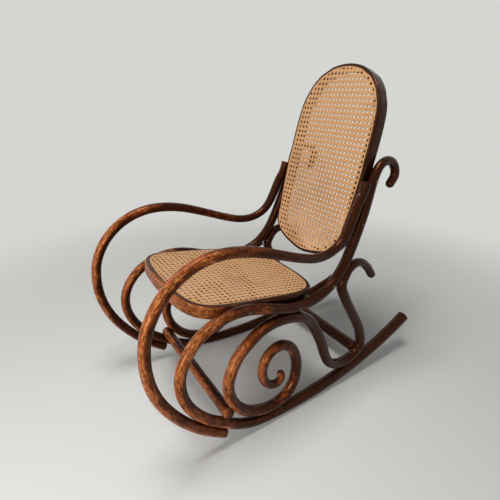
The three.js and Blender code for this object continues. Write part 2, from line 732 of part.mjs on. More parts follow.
for (const [name, solid] of Object.entries(sidePieces)) {
  const material = name.startsWith('screw') ? steel : stain;
  const [left, right] = [geometryOf(solid), mirrored(geometryOf(solid))];
  addMesh(`${name}_left`, left, material);
  addMesh(`${name}_right`, right, material);
}
for (const [name, solid] of Object.entries(middlePieces)) {
  addMesh(name, geometryOf(solid), name.endsWith('ring') ? wornStain : stain);
}
addMesh('seat_cane', canePanel(seatLine, seatRimWidth, seatPlace), cane);
addMesh('back_cane', canePanel(backLine, backRimWidth, backPlace), cane);

export default chair;
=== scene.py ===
"""Bentwood rocking chair with a caned seat and back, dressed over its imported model."""

import math

import bmesh
import bpy
from mathutils import Matrix, Vector


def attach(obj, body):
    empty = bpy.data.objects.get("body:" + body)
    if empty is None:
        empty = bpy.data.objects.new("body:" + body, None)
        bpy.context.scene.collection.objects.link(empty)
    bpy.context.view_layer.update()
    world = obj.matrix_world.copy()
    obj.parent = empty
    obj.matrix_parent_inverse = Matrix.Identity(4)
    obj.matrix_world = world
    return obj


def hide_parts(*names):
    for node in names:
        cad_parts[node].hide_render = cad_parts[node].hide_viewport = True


bl_info = {
    "name": "Bentwood Rocking Chair",
    "version": (1, 0, 0),
    "blender": (4, 5, 0),
    "location": "3D View > Sidebar > Rocking Chair",
    "description": "Smooth bent rods, frames and woven cane for a rocking chair",
    "category": "Add Mesh",
}

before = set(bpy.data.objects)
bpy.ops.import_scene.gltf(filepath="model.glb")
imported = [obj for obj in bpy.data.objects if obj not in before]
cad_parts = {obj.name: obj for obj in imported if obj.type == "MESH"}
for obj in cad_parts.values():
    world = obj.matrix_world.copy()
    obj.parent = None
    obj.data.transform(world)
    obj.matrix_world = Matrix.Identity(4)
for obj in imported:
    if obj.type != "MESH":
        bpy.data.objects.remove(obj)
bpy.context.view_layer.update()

# The drawing of a side is in millimetres: (rearwards, up) from the floor
MM = 0.001
SIDE_LENGTH = 1060
SIDE_HEIGHT = 785
SIDES = {"left": 1, "right": -1}

# How the sides stand: apart, nearer together at the rear, and further apart at the floor
FRAME_SPACING = 430
TOE_IN = 55
SPLAY = 16

# The rails bow outwards between two shares of the length, above a share of the height
RAIL_BOW = 9
BOW_FRONT, BOW_REAR = -0.34, 0.14
RAIL_LOWEST = 0.42

# Where the drawing's zero lies in the model, and how far its runners are worn flat
MIDDLE = -0.0206 * SIDE_LENGTH
FLOOR_DROP = 0.316
FLOOR_WORN = FLOOR_DROP * 1.2

# Bent rods: knots of the drawing, and radii at shares of a rod's length
SIDE_ROD = [
    (359, 710), (377, 734), (372, 760), (352, 780), (325, 785), (301, 776), (283, 755),
    (271, 730), (262, 701), (248, 655), (232, 609), (214, 563), (195, 519), (173, 477),
    (145, 442), (109, 413), (60, 394), (5, 388), (-54, 395), (-111, 412), (-165, 430),
    (-216, 442), (-265, 442), (-310, 431), (-348, 413), (-378, 388), (-403, 354),
    (-418, 314), (-420, 270), (-408, 222), (-384, 177), (-348, 133), (-307, 99),
    (-270, 71),
]
SIDE_ROD_RADII = [(0, 14.5), (0.1, 14.5), (0.2, 17.6), (0.45, 16), (1, 16)]
ARM = [
    (240, 729), (231, 698), (208, 658), (191, 620), (173, 584), (151, 556), (121, 537),
    (83, 527), (38, 529), (-22, 546), (-78, 567), (-131, 587), (-181, 604), (-228, 615),
    (-272, 620), (-316, 618), (-357, 608), (-394, 591), (-426, 568), (-454, 539),
    (-477, 503), (-494, 462), (-502, 413), (-502, 361), (-493, 307), (-473, 252),
    (-441, 196), (-394, 136), (-344, 88), (-297, 52),
]
ARM_RADII = [(0, 16), (0.1, 16), (0.19, 14), (0.3, 14), (0.45, 15.7), (1, 15.7)]
SCROLL = [
    (315, 399), (287, 434), (255, 458), (227, 463), (197, 452), (177, 427), (167, 399),
    (188, 348), (225, 285), (264, 221), (288, 166), (294, 119), (268, 90), (214, 78),
    (165, 88), (130, 114), (108, 157), (88, 210), (61, 266), (28, 316), (-12, 348),
    (-61, 365), (-112, 371), (-163, 362), (-207, 335), (-241, 298), (-265, 257),
    (-277, 217), (-271, 170), (-248, 124), (-207, 84), (-154, 61), (-102, 57), (-58, 73),
    (-29, 110), (-19, 162), (-28, 214), (-52, 254), (-88, 272), (-123, 265), (-147, 241),
    (-157, 206), (-148, 168), (-126, 144), (-99, 137), (-82, 149), (-85, 165),
]
SCROLL_RADII = [
    (0, 14.5), (0.045, 14.5), (0.1, 17.5), (0.84, 17.5), (0.94, 15), (1, 12.5),
]
RUNNER_FRONT = [(-270, 71), (-241, 53), (-204, 36), (-158, 25.4)]
RUNNER_ARC = 1330
RUNNER_CONTACT = -4.2
RUNNER_KNOTS_FROM, RUNNER_KNOTS_APART = -110, 50
RUNNER_TAIL = 552
RUNNER_RADII = (16.5, 21.5)
GRAIN_SHIFT = 3.7

# Straight pieces: half length, rearwards, up, radius, bevel
STRETCHERS = {
    "front_stretcher": (253.1, -281.1, 116.7, 17.8, 4),
    "rear_stretcher": (200.2, 284.1, 98.1, 22, 1),
}
# Short pieces of the left side: both ends as (outwards, rearwards, up), radius, bevel
SHORT_PIECES = {
    "seat_stay": ((192.8, 42.4, 398), (192.8, 126.0, 420.7), 8.5, 2),
    "back_spacer": ((191.5, 228.4, 600.1), (176.9, 228.4, 600.1), 9, 1),
}
TURNED_RINGS = 40

# Rounded rod end: how far past the last ring, and how thick, as shares of the radius
DOME = [(0.45, 0.893), (0.72, 0.694), (0.90, 0.436), (0.985, 0.17)]

# Frame outlines: half width and length as shares, starting in the middle
SEAT_SHARES = [
    (0, 0), (0.24, 0.003), (0.47, 0.012), (0.68, 0.030), (0.845, 0.068), (0.943, 0.124),
    (0.987, 0.195), (0.998, 0.278), (0.9995, 0.387), (0.9938, 0.535), (0.9741, 0.683),
    (0.9545, 0.771), (0.902, 0.850), (0.800, 0.918), (0.630, 0.965), (0.400, 0.990),
    (0.180, 0.999), (0, 1),
]
BACK_SHARES = [
    (0, 0), (0.353, 0.016), (0.549, 0.032), (0.723, 0.055), (0.832, 0.084), (0.905, 0.116),
    (0.930, 0.154), (0.940, 0.210), (0.967, 0.288), (0.989, 0.378), (1.0, 0.456),
    (1.0, 0.498), (0.989, 0.533), (0.986, 0.624), (0.973, 0.713), (0.946, 0.782),
    (0.908, 0.824), (0.853, 0.856), (0.804, 0.884), (0.723, 0.914), (0.614, 0.945),
    (0.489, 0.965), (0.353, 0.985), (0.110, 0.999), (0, 1),
]
SEAT_HALF_WIDTH, SEAT_LENGTH = 223.8, 486
BACK_HALF_WIDTH, BACK_LENGTH = 187.7, 639.5
SEAT_TILT, BACK_TILT = -0.15856, 1.31634
SEAT_PLACE = (
    Matrix.Translation(Vector((0, -375.24 + MIDDLE, 478.93 - FLOOR_DROP)) * MM)
    @ Matrix.Rotation(SEAT_TILT, 4, "X")
)
BACK_PLACE = (
    Matrix.Translation(Vector((0, 161.97 + MIDDLE, 449.96 - FLOOR_DROP)) * MM)
    @ Matrix.Rotation(BACK_TILT, 4, "X")
)
SEAT_GRAIN_START, BACK_GRAIN_START = 11.0, 17.0
CANE_ORIGINS = {"seat": (-4.0, 13.2), "back": (-3.3, 9.3)}

# The weave in metres: room round its edge, and heights from the top of the frame
CANE_GAP, BINDER_LAP, STRAND_MARGIN = 0.0008, 0.001, 0.001
PAIR_SPREAD = 0.54
STRAIGHT_OVER, STRAIGHT_BETWEEN, STRAIGHT_UNDER = -0.0003, -0.0010, -0.0017
DIAGONAL_OVER, DIAGONAL_UNDER = 0.0002, -0.0021
STRAND_CROWN = 0.00035
BINDER_WIDTH, BINDER_RISE, BINDER_BED = 0.0042, 0.0008, -0.0004
FRAME_CHAMFER = 0.0006

# Edges sharper than these, in degrees, are shaded sharp
ROD_SHARP, FRAME_SHARP, CANE_SHARP = 40, 50, 60

# How much wear and painted light a face gets by the way it looks (a face that gets
# little is left in painted shade), how much less of it the rear gets, and how rubbed each piece
# is
WEAR_AND_LIGHT_UP, WEAR_AND_LIGHT_FRONT, WEAR_AND_LIGHT_OUTER, WEAR_AND_LIGHT_INNER = 0.20, 0.48, 0.26, 0.12
WEAR_AND_LIGHT_REAR_END, WEAR_AND_LIGHT_FADE, WEAR_AND_LIGHT_REAR = 0.12, 0.5, 0.26
RUBBING = {
    "arm": 0.34, "side_rod": 0.34, "scroll": 0.22, "runner": 0.08, "stretcher": 0.16,
    "seat_ring": 0.26, "back_ring": 0.04,
}

# The stage: lamps as name, place, size and power, then strengths of floor and surround
LAMPS = [
    ("key_lamp", (1.18, -2.12, 0.72), 0.75, 36),
    ("top_lamp", (0.15, -0.6, 3.1), 1.1, 58),
    ("fill_lamp", (-2.2, -1.6, 1.9), 1.2, 6),
]
LAMP_AIM = (0, 0, 0.45)
SENSOR_WIDTH = 36
FLOOR_RADIUS = 14
FLOOR_FADE = (0.7, 2.3)
FLOOR_GLOW, FAR_GLOW = 0.04, 0.91
SURROUND_LIGHT, SURROUND_SEEN = 0.14, 0.95


class RodSettings(bpy.types.PropertyGroup):
    """Sizes of the bent and turned rods"""

    segments: bpy.props.IntProperty(
        name="Segments", description="Flats round a rod", default=28, min=8, max=64)
    step: bpy.props.FloatProperty(
        name="Step", description="Distance between rings along a rod",
        default=0.006, min=0.002, max=0.05, unit="LENGTH")
    end_bevel: bpy.props.FloatProperty(
        name="End bevel", description="Bevel round a sawn rod end",
        default=0.0015, min=0.0, max=0.006, unit="LENGTH")


class FrameSettings(bpy.types.PropertyGroup):
    """Sizes of the seat and back frames"""

    stations: bpy.props.IntProperty(
        name="Stations", description="Places round a frame", default=220, min=40, max=600)
    edge_radius: bpy.props.FloatProperty(
        name="Edge radius", description="Rounding of the outer edges",
        default=0.006, min=0.001, max=0.012, unit="LENGTH")
    seat_rim: bpy.props.FloatVectorProperty(
        name="Seat rim", description="Width and height of the seat frame", size=2,
        default=(0.024, 0.037), unit="LENGTH")
    back_rim: bpy.props.FloatVectorProperty(
        name="Back rim", description="Width and depth of the back frame", size=2,
        default=(0.019, 0.040), unit="LENGTH")
    rebate: bpy.props.FloatVectorProperty(
        name="Rebate", description="Width and depth of the seat for the cane", size=2,
        default=(0.008, 0.0029), unit="LENGTH")
    ledge: bpy.props.FloatProperty(
        name="Ledge", description="Reach of the thin ledge under the edge of the cane",
        default=0.006, min=0.001, max=0.012, unit="LENGTH")


class CaneSettings(bpy.types.PropertyGroup):
    """Sizes of the woven cane"""

    pitch: bpy.props.FloatProperty(
        name="Pitch", description="Distance between the pairs of strands",
        default=0.0164, min=0.006, max=0.03, unit="LENGTH")
    strand: bpy.props.FloatProperty(
        name="Strand", description="Width of a straight strand",
        default=0.0030, min=0.001, max=0.005, unit="LENGTH")
    diagonal: bpy.props.FloatProperty(
        name="Diagonal", description="Width of a diagonal strand",
        default=0.0033, min=0.001, max=0.005, unit="LENGTH")
    thickness: bpy.props.FloatProperty(
        name="Thickness", description="Thickness of a strand",
        default=0.0022, min=0.0003, max=0.003, unit="LENGTH")


class FinishSettings(bpy.types.PropertyGroup):
    """Colours of the wood, the cane and the screws"""

    stain: bpy.props.FloatVectorProperty(
        name="Stain", description="Dark stain in the grain", subtype="COLOR", size=3,
        default=(0.0045, 0.0010, 0.0006), min=0, max=1)
    wood: bpy.props.FloatVectorProperty(
        name="Wood", description="Reddish brown between the dark grain", subtype="COLOR",
        size=3, default=(0.070, 0.0085, 0.0022), min=0, max=1)
    # The rubbed orange also serves as painted light on the faces turned to the lamps
    rubbed: bpy.props.FloatVectorProperty(
        name="Rubbed", description="Orange brown where the stain is rubbed thin",
        subtype="COLOR", size=3, default=(0.42, 0.096, 0.018), min=0, max=1)
    # Tan of bare wood, also used as a painted highlight on the most rubbed, lit faces
    bare_and_highlight: bpy.props.FloatVectorProperty(
        name="Bare", description="Tan wood where the finish is rubbed through",
        subtype="COLOR", size=3, default=(0.70, 0.31, 0.11), min=0, max=1)
    cane: bpy.props.FloatVectorProperty(
        name="Cane", description="Tan of the cane", subtype="COLOR", size=3,
        default=(0.66, 0.385, 0.185), min=0, max=1)
    steel: bpy.props.FloatVectorProperty(
        name="Steel", description="Aged steel of the screws", subtype="COLOR", size=3,
        default=(0.12, 0.10, 0.085), min=0, max=1)


class StageSettings(bpy.types.PropertyGroup):
    """The camera and the colour round the chair"""

    azimuth: bpy.props.FloatProperty(
        name="Azimuth", description="Camera's turn round the chair",
        default=math.radians(57.78), subtype="ANGLE")
    elevation: bpy.props.FloatProperty(
        name="Elevation", description="Camera's tilt down to the chair",
        default=math.radians(22.82), subtype="ANGLE")
    lens: bpy.props.FloatProperty(
        name="Lens", description="Focal length on a 36 mm sensor", default=27.94)
    station: bpy.props.FloatVectorProperty(
        name="Station", description="Where the camera stands", subtype="TRANSLATION",
        size=3, default=(1.007, -0.7088, 0.998))
    pale: bpy.props.FloatVectorProperty(
        name="Pale", description="Colour of the floor and surround", subtype="COLOR",
        size=3, default=(0.70, 0.70, 0.68), min=0, max=1)


SETTINGS = {
    "chair_rods": RodSettings,
    "chair_frames": FrameSettings,
    "chair_cane": CaneSettings,
    "chair_finish": FinishSettings,
    "chair_stage": StageSettings,
}


# Shader expressions


class Field:
    """A shader socket that takes part in Python expressions."""

    def __init__(self, shader, socket):
        self.shader = shader
        self.socket = socket

    def math(self, operation, *values):
        """A math node of the values, each a field or a number."""
        return self.shader.node(
            "ShaderNodeMath", {"operation": operation}, dict(enumerate(values)))

    def __add__(self, other):
        return self.math("ADD", self, other)

    def __sub__(self, other):
        return self.math("SUBTRACT", self, other)

    def __rsub__(self, other):
        return self.math("SUBTRACT", other, self)

    def __mul__(self, other):
        return self.math("MULTIPLY", self, other)

    def __pow__(self, other):
        return self.math("POWER", self, other)

    def __or__(self, other):
        return self.math("MAXIMUM", self, other)

    __radd__ = __add__
    __rmul__ = __mul__

    def clamped(self):
        settings = {"operation": "ADD", "use_clamp": True}
        return self.shader.node("ShaderNodeMath", settings, {0: self, 1: 0.0})

    def between(self, low, high):
        """A soft step from 0 at low to 1 at high."""
        return self.shader.node(
            "ShaderNodeMapRange", {"interpolation_type": "SMOOTHSTEP"},
            {"Value": self, "From Min": low, "From Max": high})


class Shader:
    """The nodes of one material or surround."""

    def __init__(self, owner):
        owner.use_nodes = True
        self.tree = owner.node_tree
        self.tree.nodes.clear()

    def node(self, kind, settings, inputs, output=0):
        """Add a node, with its settings first, and return its output as a field."""
        node = self.tree.nodes.new(kind)
        for setting, value in settings.items():
            setattr(node, setting, value)
        for key, value in inputs.items():
            if isinstance(value, Field):
                self.tree.links.new(value.socket, node.inputs[key])
            else:
                node.inputs[key].default_value = value
        return Field(self, node.outputs[output]) if len(node.outputs) else node

    def colour(self, factor, low, high):
        """Mix two colours, given as fields or as red, green and blue."""
        low, high = (end if isinstance(end, Field) else (*end, 1) for end in (low, high))
        return self.node(
            "ShaderNodeMix", {"data_type": "RGBA"}, {0: factor, 6: low, 7: high}, 2)

    def place(self):
        return self.node("ShaderNodeTexCoord", {}, {}, "Object")

    def part(self, vector, axis):
        return self.node("ShaderNodeSeparateXYZ", {}, {"Vector": vector}, axis)

    def attribute(self, name, output):
        return self.node("ShaderNodeAttribute", {"attribute_name": name}, {}, output)

    def scaled(self, vector, scale):
        settings = {"operation": "MULTIPLY"}
        return self.node("ShaderNodeVectorMath", settings, {0: vector, 1: scale})

    def noise(self, vector, scale, detail, roughness):
        return self.node(
            "ShaderNodeTexNoise", {},
            {"Vector": vector, "Scale": scale, "Detail": detail, "Roughness": roughness})

    def bump(self, height, strength, distance):
        return self.node(
            "ShaderNodeBump", {},
            {"Strength": strength, "Distance": distance, "Height": height})

    def ray(self, kind):
        return self.node("ShaderNodeLightPath", {}, {}, f"Is {kind} Ray")

    def finish(self, **values):
        """Lay the values on a principled surface and show it."""
        inputs = {key.replace("_", " "): value for key, value in values.items()}
        surface = self.node("ShaderNodeBsdfPrincipled", {}, inputs)
        self.show("ShaderNodeOutputMaterial", surface)

    def show(self, output, surface):
        self.node(output, {}, {"Surface": surface})


def painted(name, paint, *values):
    """The material of that name, painted when it is first asked for."""
    if name not in bpy.data.materials:
        paint(Shader(bpy.data.materials.new(name)), *values)
    return bpy.data.materials[name]


def shaded(colour, shades):
    return tuple(channel * shade for channel, shade in zip(colour, shades))


def paint_wood(shader, rubbing):
    """Stained and varnished beech, rubbed orange on the faces that hands and feet reach, with
    painted light and painted highlights on those faces and painted shade on the faces turned
    away.
    """
    colours = bpy.context.scene.chair_finish
    grain = shader.attribute("grain", "Vector")
    wear_and_light = shader.attribute("wear_and_light", "Fac")
    place = shader.place()

    def figure(stretch, scale, detail, roughness):
        """Noise drawn out along the grain, the more the smaller the stretch."""
        return shader.noise(shader.scaled(grain, (1, 1, stretch)), scale, detail, roughness)

    fibre = figure(0.030, 700, 4, 0.6)
    pores = figure(0.28, 400, 5, 0.70).between(0.53, 0.61)
    streak = figure(0.16, 330, 5, 0.72) - 0.5
    patch = figure(0.40, 50, 4, 0.65) - 0.5
    blots = figure(0.50, 150, 5, 0.75).between(0.50, 0.60)
    chips = figure(0.45, 520, 2, 0.5).between(0.67, 0.71)
    cloud = shader.noise(place, 7.0, 3, 0.6) - 0.5
    low = 1.0 - shader.part(place, "Z").between(0.15, 0.50)
    # Rubbed orange: real wear in noisy patches, and painted light on the front, upper and outer
    # faces
    rubbed = wear_and_light * 2.0 + cloud * 1.5 + patch * 1.3 + streak * 0.5 + (rubbing - 0.66)
    worn = rubbed.between(0.0, 0.65)
    # Bare tan where rubbed through, and a painted highlight on the lit front, upper and outer
    # faces
    bare_and_highlight = rubbed.between(0.25, 0.75) * (streak + 0.5).between(0.48, 0.60)
    # Painted shade: on faces turned down, inwards or to the rear the brown darkens towards the
    # stain
    body = fibre.between(0.30, 0.75) * (0.20 + wear_and_light * 2.4).clamped()
    brown = shader.colour(body, colours.stain, colours.wood)
    orange = shader.colour(fibre.between(0.20, 0.72), colours.wood, colours.rubbed)
    base = shader.colour(worn, brown, orange)
    base = shader.colour(bare_and_highlight * 0.7, base, colours.bare_and_highlight)
    base = shader.colour(blots * 0.65, base, colours.stain)
    base = shader.colour(pores * (0.9 - bare_and_highlight * 0.35), base, colours.stain)
    base = shader.colour(chips * (0.05 + worn * 0.35 + low * 0.35), base, colours.bare_and_highlight)
    height = fibre * 0.35 + streak * 0.35 - pores * 0.8 - chips * 0.4 - worn * 0.2
    shader.finish(
        Base_Color=base,
        Roughness=(0.18 + worn * 0.04 + pores * 0.30 + cloud * 0.12).clamped(),
        Specular_IOR_Level=0.34,
        Specular_Tint=(1.0, 0.40, 0.18, 1.0),
        Coat_Weight=(0.02 - pores * 0.02).clamped(),
        Coat_Roughness=0.15,
        Normal=shader.bump(height, 0.30, 0.0006),
    )


def paint_cane(shader):
    """Split cane: tan, browned in places, darkened over the back as painted shade, and with the
    walls of its strands painted near black as painted shade in the holes.
    """
    tan = tuple(bpy.context.scene.chair_finish.cane)
    place = shader.place()
    cloud = shader.noise(place, 7.0, 3, 0.5)
    strand = shader.noise(place, 160, 3, 0.6)
    fleck = shader.noise(place, 900, 2, 0.6)
    # Painted shade: the cane darkens towards the top of the back
    back = shader.part(place, "Z").between(0.47, 0.68)
    face = shader.attribute("face", "Fac")
    pink = shaded(tan, (1.12, 1.05, 1.1))
    dark = shaded(tan, (0.55, 0.48, 0.42))
    painted_hole_shade = shaded(tan, (0.05, 0.04, 0.04))
    base = shader.colour(strand.between(0.30, 0.70), tan, pink)
    base = shader.colour(cloud.between(0.48, 0.75) * 0.45, base, dark)
    base = shader.colour(fleck.between(0.58, 0.72) * 0.55, base, dark)
    # Painted shade over the back
    base = shader.colour(back * 0.42, base, dark)
    # Painted shade: the middle of each strand's side walls goes near black, so the holes look
    # dark
    base = shader.colour((face * face).between(0.70, 0.98), painted_hole_shade, base)
    shader.finish(
        Base_Color=base,
        Roughness=0.45 + fleck * 0.20,
        Specular_IOR_Level=0.06,
        Normal=shader.bump(strand * 0.6 + fleck * 0.4, 0.25, 0.0004),
    )


def paint_steel(shader):
    """Old screw heads, dull, with brown in the scratches."""
    grey = tuple(bpy.context.scene.chair_finish.steel)
    rust = shader.noise(shader.place(), 700, 4, 0.65)
    brown = shaded(grey, (0.7, 0.4, 0.25))
    shader.finish(
        Base_Color=shader.colour(rust.between(0.42, 0.66), grey, brown),
        Metallic=1.0 - rust.between(0.45, 0.70) * 0.6,
        Roughness=0.38 + rust * 0.3,
        Normal=shader.bump(rust, 0.2, 0.0003),
    )


def paint_floor(shader):
    """Pale floor that fades into the surround and looks as bright as it from afar."""
    pale, black = tuple(bpy.context.scene.chair_stage.pale), (0.0, 0.0, 0.0)
    place = shader.place()
    x, y = shader.part(place, "X"), shader.part(place, "Y")
    far = ((x * x + y * y) ** 0.5).between(*FLOOR_FADE)
    glow = (shader.ray("Camera") | shader.ray("Glossy")) * (FLOOR_GLOW + far * FAR_GLOW)
    shader.finish(
        Base_Color=shader.colour(far, pale, black),
        Roughness=0.9,
        Specular_IOR_Level=0.0,
        Emission_Color=shader.colour(glow, black, pale),
        Emission_Strength=1.0,
    )


# Lines and rods


def side_point(u, z, side):
    """A point of the side drawing in space, in metres."""
    plane = FRAME_SPACING / 2 - TOE_IN * u / SIDE_LENGTH + SPLAY * (1 - z / SIDE_HEIGHT)
    share = (u / SIDE_LENGTH - BOW_FRONT) / (BOW_REAR - BOW_FRONT)
    if 0 < share < 1 and z > SIDE_HEIGHT * RAIL_LOWEST:
        plane += RAIL_BOW * math.sin(math.pi * share) ** 2
    return Vector((side * plane, u + MIDDLE, z - FLOOR_DROP)) * MM


def smooth_line(knots, step, closed=False, parts=16):
    """Even points on the smooth (centripetal Catmull-Rom) line through the knots."""
    count = len(knots)
    line = []
    for i in range(count if closed else count - 1):
        b, c = knots[i], knots[(i + 1) % count]
        a = knots[i - 1] if closed or i else 2 * b - c
        d = knots[(i + 2) % count] if closed or i < count - 2 else 2 * c - b
        gaps = [max((q - p).length, 1e-6) ** 0.5 for p, q in ((a, b), (b, c), (c, d))]
        start = (b - a) / gaps[0] - (c - a) / (gaps[0] + gaps[1]) + (c - b) / gaps[1]
        end = (c - b) / gaps[1] - (d - b) / (gaps[1] + gaps[2]) + (d - c) / gaps[2]
        start, end = start * gaps[1], end * gaps[1]
        for k in range(parts):
            t = k / parts
            line.append(
                b + t * start + t ** 2 * (3 * (c - b) - 2 * start - end)
                + t ** 3 * (2 * (b - c) + start + end))
    line.append(knots[0] if closed else knots[-1])
    return even_points(line, step)


def even_points(line, step):
    """Points at even distances along a line of close points."""
    lengths = [0.0]
    for a, b in zip(line, line[1:]):
        lengths.append(lengths[-1] + (b - a).length)
    count = max(2, round(lengths[-1] / step))
    points, at = [], 0
    for i in range(count + 1):
        wanted = lengths[-1] * i / count
        while at < len(line) - 2 and lengths[at + 1] < wanted:
            at += 1
        span = max(lengths[at + 1] - lengths[at], 1e-9)
        points.append(line[at].lerp(line[at + 1], min(1.0, (wanted - lengths[at]) / span)))
    return points


def radius_at(radii, share):
    """The radius in metres at a share of a rod's length."""
    for (a, low), (b, high) in zip(radii, radii[1:]):
        if share <= b:
            return (low + (high - low) * (share - a) / (b - a)) * MM
    return radii[-1][1] * MM


def rod_rings(line, radii, ends, bevel):
    """The middle, direction and radius of every ring along a rod, ends included."""
    last = len(line) - 1
    rings = []
    for i, point in enumerate(line):
        along = (line[min(i + 1, last)] - line[max(i - 1, 0)]).normalized()
        rings.append((point, along, radius_at(radii, i / last)))
    for at, sign, end in ((0, -1, ends[0]), (-1, 1, ends[1])):
        point, along, radius = rings[at]
        extra = []
        if end == "dome":
            extra = [(point + sign * along * radius * reach, along, radius * size)
                     for reach, size in DOME]
        elif end == "sawn":
            extra = [(point + sign * along * bevel, along, radius - bevel)]
        if sign < 0:
            rings = extra[::-1] + rings
        else:
            rings = rings + extra
    return rings


def extrude_ring(bm, ring):
    """Extrude a ring of edges, and return the new ring's vertices and edges."""
    grown = bmesh.ops.extrude_edge_only(bm, edges=ring)["geom"]
    verts = [item for item in grown if isinstance(item, bmesh.types.BMVert)]
    edges = [item for item in grown if isinstance(item, bmesh.types.BMEdge)
             and item.is_boundary]
    return verts, edges


def bend_rod(name, line, radii, ends, seed, normal):
    """Extrude a circle along a line, with its grain running along the rod from the seed."""
    settings = bpy.context.scene.chair_rods
    bm = bmesh.new()
    grain = bm.verts.layers.float_vector.new("grain")
    circle = bmesh.ops.create_circle(bm, cap_ends=False, segments=settings.segments, radius=1)
    verts, edges = circle["verts"], bm.edges[:]
    here = Matrix.Identity(4)
    run = seed
    rings = rod_rings(line, radii, ends, settings.end_bevel)
    for i, (middle, along, radius) in enumerate(rings):
        across = normal.cross(along).normalized()
        rise = along.cross(across)
        there = Matrix.Identity(4)
        for column, axis in enumerate((across * radius, rise * radius, along * radius)):
            there.col[column] = (*axis, 0)
        there.col[3] = (*middle, 1)
        if i:
            run += (middle - rings[i - 1][0]).length
            verts, edges = extrude_ring(bm, edges)
        bmesh.ops.transform(bm, matrix=there @ here.inverted(), verts=verts)
        here = there
        for vert in verts:
            spoke = vert.co - middle
            vert[grain] = (spoke.dot(across), spoke.dot(rise), run)
    bmesh.ops.holes_fill(bm, edges=[edge for edge in bm.edges if edge.is_boundary])
    return make_piece(name, bm, ROD_SHARP)


def make_piece(name, bm, sharp):
    """Turn a finished bmesh into a smooth-shaded object of the chair."""
    bmesh.ops.recalc_face_normals(bm, faces=bm.faces[:])
    bm.normal_update()
    # Per vertex: real wear, and painted light on the faces turned to the front, up and outwards
    wear_and_light = bm.verts.layers.float.new("wear_and_light")
    for face in bm.faces:
        face.smooth = True
    for vert in bm.verts:
        vert[wear_and_light] = wear_and_light_at(vert.co, vert.normal)
    mesh = bpy.data.meshes.new(name)
    bm.to_mesh(mesh)
    bm.free()
    mesh.set_sharp_from_angle(angle=math.radians(sharp))
    piece = bpy.data.objects.new(name, mesh)
    bpy.context.scene.collection.objects.link(piece)
    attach(piece, "root")
    return piece


def wear_and_light_at(spot, facing):
    """How much hands, knees and cloths reach a place, and how much painted light it gets: the
    front, outer and upper faces get most, and faces turned down, inwards or to the rear are left
    in painted shade.
    """
    front = min(max((WEAR_AND_LIGHT_REAR_END - spot.y) / WEAR_AND_LIGHT_FADE, 0.0), 1.0)
    outer = facing.x * math.copysign(1.0, spot.x)
    reach = WEAR_AND_LIGHT_UP * max(facing.z, 0.0) + WEAR_AND_LIGHT_FRONT * max(-facing.y, 0.0)
    reach += WEAR_AND_LIGHT_OUTER * max(outer, 0.0) + WEAR_AND_LIGHT_INNER * max(-outer, 0.0)
    return reach * (WEAR_AND_LIGHT_REAR + (1 - WEAR_AND_LIGHT_REAR) * front) + 0.05 * front


def dress(piece, material, slot, *nodes):
    """Give a piece its material, and hide the imported nodes that it stands for. The slot is not
    used.
    """
    piece.data.materials.clear()
    piece.data.materials.append(material)
    if nodes:
        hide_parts(*nodes)


def side_normal(side):
    """The direction square to the plane of a side, which splays and toes in."""
    return Vector((side, TOE_IN / SIDE_LENGTH, SPLAY / SIDE_HEIGHT)).normalized()


def wood(label):
    """The wood of one kind of piece, rubbed as much as that kind is."""
    return painted(f"wood_{label}", paint_wood, RUBBING[label])


def bend_pair(label, drawing, radii, ends):
    """Bend the left and right rods of one drawing."""
    step = bpy.context.scene.chair_rods.step
    for i, (hand, side) in enumerate(SIDES.items()):
        line = smooth_line([side_point(u, z, side) for u, z in drawing], step)
        rod = bend_rod(
            f"bent_{label}_{hand}", line, radii, ends, i * GRAIN_SHIFT, side_normal(side))
        dress(rod, wood(label), "bentwood", f"{label}_{hand}")


# Frames and cane


def frame_outline(shares, half_width, length, count):
    """A closed line of even points, with its inward directions."""
    right = [Vector((x * half_width, y * length, 0)) * MM for x, y in shares]
    left = [Vector((-point.x, point.y, 0)) for point in right[-2:0:-1]]
    knots = right + left
    total = sum((b - a).length for a, b in zip(knots, knots[1:] + knots[:1]))
    points = smooth_line(knots, total / count, closed=True)[:-1]
    size = len(points)
    inward = []
    for i in range(size):
        along = points[(i + 1) % size] - points[i - 1]
        inward.append(Vector((-along.y, along.x, 0)).normalized())
    return points, inward


def rim_profile(width, depth, edge, rebate, ledge):
    """The section of a frame as (inset, height) pairs, from the top edge inwards round."""
    lap, bed = rebate
    turns = [math.radians(angle) for angle in (0, 22, 45, 68, 90)]
    top = [(edge * (1 - math.sin(turn)), edge * (math.cos(turn) - 1)) for turn in turns]
    low = [(edge * (1 - math.cos(turn)), edge * (1 - math.sin(turn)) - depth) for turn in turns]
    soft = edge * 0.4
    return [
        *top, (0, -depth * 0.35), (0, -depth * 0.65), *low,
        (width * 0.5, -depth), (width - soft, -depth), (width, soft - depth),
        (width, -bed - ledge * 1.2), (width + ledge, -bed - ledge * 0.5),
        (width + ledge, -bed), (width - lap, -bed),
        (width - lap, -FRAME_CHAMFER), (width - lap - FRAME_CHAMFER, 0),
    ]


